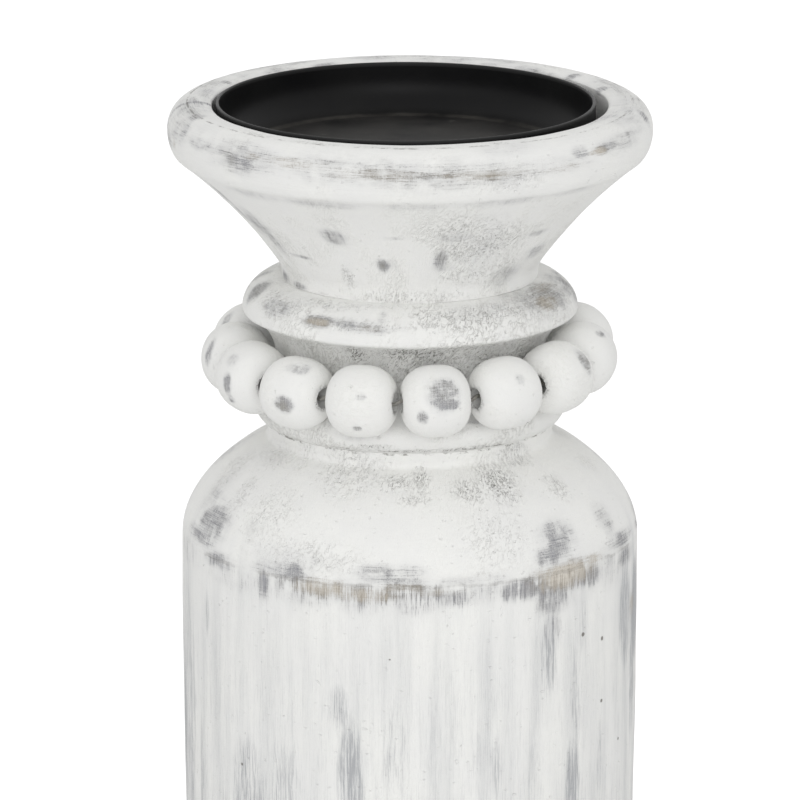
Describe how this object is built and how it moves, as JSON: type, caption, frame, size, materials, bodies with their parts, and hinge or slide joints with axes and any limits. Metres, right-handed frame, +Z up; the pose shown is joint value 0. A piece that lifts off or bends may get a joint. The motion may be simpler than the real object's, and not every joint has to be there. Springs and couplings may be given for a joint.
{
  "type": "wooden candlestick",
  "caption": "Turned wooden pillar-candle stand in worn white paint, with a loose black metal cup and a strand of wooden beads round its neck.",
  "frame": {"origin": "on the table, under the middle of the foot", "axes": "+Z up along the turning axis, -Y towards the front"},
  "size_m": [0.128, 0.128, 0.3051],
  "materials": {
    "white_paint": "chalky white paint rubbed back to grey undercoat and bare wood at the edges",
    "bead_paint": "smooth matt white paint with a few rubbed grey spots",
    "black_metal": "satin black enamel on pressed steel",
    "bare_wood": "bare beech",
    "felt": "dense grey felt",
    "cotton_cord": "undyed twisted cotton"
  },
  "bodies": {
    "stand": {"foot": "white_paint", "body": "white_paint", "spool": "white_paint", "bowl": "white_paint", "foot_dowel": "bare_wood", "spool_dowel": "bare_wood", "bowl_dowel": "bare_wood", "felt_pads": "felt"},
    "cup": {"cup": "black_metal"},
    "strand": {"bead_cord": "cotton_cord"},
    "bead_01": {"bead_01": "bead_paint"},
    "bead_02": {"bead_02": "bead_paint"},
    "bead_03": {"bead_03": "bead_paint"},
    "bead_04": {"bead_04": "bead_paint"},
    "bead_05": {"bead_05": "bead_paint"},
    "bead_06": {"bead_06": "bead_paint"},
    "bead_07": {"bead_07": "bead_paint"},
    "bead_08": {"bead_08": "bead_paint"},
    "bead_09": {"bead_09": "bead_paint"},
    "bead_10": {"bead_10": "bead_paint"},
    "bead_11": {"bead_11": "bead_paint"},
    "bead_12": {"bead_12": "bead_paint"},
    "bead_13": {"bead_13": "bead_paint"},
    "bead_14": {"bead_14": "bead_paint"},
    "bead_15": {"bead_15": "bead_paint"}
  },
  "joints": [
    {"name": "cup_lift", "type": "slide", "parent": "stand", "child": "cup", "axis": [0, 0, 1], "range_m": [0, 0.04]},
    {"name": "strand_turn", "type": "hinge", "parent": "stand", "child": "strand", "pos_m": [0, 0, 0.23703], "axis": [-0.019, -0.0373, 0.9991], "continuous": true},
    {"name": "bead_01_spin", "type": "hinge", "parent": "strand", "child": "bead_01", "pos_m": [0.00652, -0.0451, 0.23547], "axis": [0.9895, 0.1422, 0.0241], "continuous": true},
    {"name": "bead_02_spin", "type": "hinge", "parent": "strand", "child": "bead_02", "pos_m": [0.02431, -0.03857, 0.23605], "axis": [0.8459, 0.5322, 0.036], "continuous": true},
    {"name": "bead_03_spin", "type": "hinge", "parent": "strand", "child": "bead_03", "pos_m": [0.03789, -0.02536, 0.23681], "axis": [0.5559, 0.8302, 0.0416], "continuous": true},
    {"name": "bead_04_spin", "type": "hinge", "parent": "strand", "child": "bead_04", "pos_m": [0.04493, -0.00777, 0.2376], "axis": [0.1698, 0.9847, 0.04], "continuous": true},
    {"name": "bead_05_spin", "type": "hinge", "parent": "strand", "child": "bead_05", "pos_m": [0.04419, 0.01116, 0.23829], "axis": [-0.2456, 0.9689, 0.0315], "continuous": true},
    {"name": "bead_06_spin", "type": "hinge", "parent": "strand", "child": "bead_06", "pos_m": [0.03582, 0.02816, 0.23877], "axis": [-0.6186, 0.7855, 0.0176], "continuous": true},
    {"name": "bead_07_spin", "type": "hinge", "parent": "strand", "child": "bead_07", "pos_m": [0.02125, 0.0403, 0.23894], "axis": [-0.8846, 0.4664, 0.0006], "continuous": true},
    {"name": "bead_08_spin", "type": "hinge", "parent": "strand", "child": "bead_08", "pos_m": [0.00301, 0.04546, 0.23879], "axis": [-0.9976, 0.0666, -0.0165], "continuous": true},
    {"name": "bead_09_spin", "type": "hinge", "parent": "strand", "child": "bead_09", "pos_m": [-0.01576, 0.04277, 0.23833], "axis": [-0.9382, -0.3447, -0.0307], "continuous": true},
    {"name": "bead_10_spin", "type": "hinge", "parent": "strand", "child": "bead_10", "pos_m": [-0.03179, 0.03268, 0.23765], "axis": [-0.7165, -0.6964, -0.0396], "continuous": true},
    {"name": "bead_11_spin", "type": "hinge", "parent": "strand", "child": "bead_11", "pos_m": [-0.04233, 0.01694, 0.23686], "axis": [-0.371, -0.9277, -0.0417], "continuous": true},
    {"name": "bead_12_spin", "type": "hinge", "parent": "strand", "child": "bead_12", "pos_m": [-0.04555, -0.00173, 0.2361], "axis": [0.0387, -0.9986, -0.0366], "continuous": true},
    {"name": "bead_13_spin", "type": "hinge", "parent": "strand", "child": "bead_13", "pos_m": [-0.0409, -0.0201, 0.2355], "axis": [0.4417, -0.8968, -0.0251], "continuous": true},
    {"name": "bead_14_spin", "type": "hinge", "parent": "strand", "child": "bead_14", "pos_m": [-0.02917, -0.035, 0.23517], "axis": [0.7684, -0.6399, -0.0093], "continuous": true},
    {"name": "bead_15_spin", "type": "hinge", "parent": "strand", "child": "bead_15", "pos_m": [-0.0124, -0.04384, 0.23516], "axis": [0.9621, -0.2724, 0.0081], "continuous": true}
  ]
}
